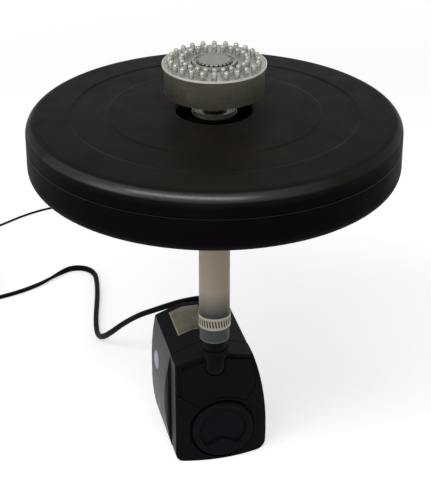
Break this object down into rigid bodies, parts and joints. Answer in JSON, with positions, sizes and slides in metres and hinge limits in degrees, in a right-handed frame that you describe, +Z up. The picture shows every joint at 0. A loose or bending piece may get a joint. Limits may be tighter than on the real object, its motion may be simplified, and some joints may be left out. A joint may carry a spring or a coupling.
{
  "type": "floating fountain",
  "caption": "Round black float with a ring light and a slotted nozzle on top, on a hose that rises from a small submersible pump, with its mains lead and light lead.",
  "frame": {"origin": "on the riser's axis, on the surface that the pump stands on", "axes": "+Z up along the riser, -Y out of the pump's front, +X to the right seen from the front"},
  "size_m": [0.5161, 0.8713, 0.4629],
  "materials": {
    "float_plastic": "satin, faint moulding texture",
    "pump_plastic": "satin",
    "panel_plastic": "semi-gloss",
    "dial_plastic": "satin",
    "inner_plastic": "satin",
    "impeller_plastic": "satin",
    "light_metal": "brushed, dark anodised",
    "bright_metal": "satin",
    "nozzle_metal": "satin",
    "clamp_steel": "brushed",
    "lens": "clear, polished",
    "board": "matte",
    "resin": "matte",
    "hose_plastic": "satin, translucent",
    "black_rubber": "matte",
    "cable_rubber": "satin",
    "connector_plastic": "satin",
    "pin_brass": "nickel plated",
    "magnet": "matte",
    "shaft_ceramic": "polished",
    "core_iron": "laminated",
    "winding": "enamelled wire"
  },
  "bodies": {
    "fountain": {"nozzle_cap": "nozzle_metal", "nozzle_body": "nozzle_metal", "led_lenses_outer": "lens", "led_lenses_inner": "lens", "led_face_plate": "bright_metal", "led_board": "board", "led_potting": "resin", "led_housing": "light_metal", "light_lock_nut": "bright_metal", "led_gland": "black_rubber", "riser_pipe": "bright_metal", "clamp_collar": "bright_metal", "collar_gasket": "black_rubber", "float_upper": "float_plastic", "float_lower": "float_plastic", "cable_grommet": "black_rubber", "float_washer": "black_rubber", "float_lock_nut": "pump_plastic", "hose_tail": "pump_plastic", "riser_hose": "hose_plastic", "upper_clamp_band": "clamp_steel", "upper_clamp_housing": "clamp_steel", "lower_clamp_band": "clamp_steel", "lower_clamp_housing": "clamp_steel", "outlet_spigot": "pump_plastic", "spigot_nut": "pump_plastic", "spigot_seal": "black_rubber", "front_housing": "pump_plastic", "front_panel": "panel_plastic", "volute_cover": "inner_plastic", "volute_casing": "inner_plastic", "rotor_shaft": "shaft_ceramic", "front_bush": "black_rubber", "rear_bush": "black_rubber", "rotor_well": "inner_plastic", "stator_core": "core_iron", "stator_coils": "winding", "motor_potting": "resin", "motor_casing": "pump_plastic", "casing_seal": "black_rubber", "power_gland": "cable_rubber", "power_cord": "cable_rubber", "power_coil": "cable_rubber", "power_plug": "cable_rubber", "plug_pins": "pin_brass", "led_cord": "cable_rubber", "led_coil": "cable_rubber", "led_connector": "connector_plastic"},
    "rotor": {"impeller": "impeller_plastic", "rotor_magnet": "magnet"},
    "dial": {"flow_dial": "dial_plastic"},
    "upper_screw": {"upper_clamp_screw": "clamp_steel"},
    "lower_screw": {"lower_clamp_screw": "clamp_steel"}
  },
  "joints": [
    {"name": "rotor_spin", "type": "hinge", "parent": "fountain", "child": "rotor", "pos_m": [0.008, 0.03, 0.038], "axis": [0, 1, 0], "continuous": true},
    {"name": "flow_dial_turn", "type": "hinge", "parent": "fountain", "child": "dial", "pos_m": [0.008, 0, 0.038], "axis": [0, -1, 0], "range_deg": [0, 90]},
    {"name": "upper_clamp_screw_turn", "type": "hinge", "parent": "fountain", "child": "upper_screw", "pos_m": [-0.01935, -0.00704, 0.305], "axis": [-0.342, 0.9397, 0], "continuous": true},
    {"name": "lower_clamp_screw_turn", "type": "hinge", "parent": "fountain", "child": "lower_screw", "pos_m": [0.00463, 0.02006, 0.175], "axis": [0.9744, -0.225, 0], "continuous": true}
  ]
}
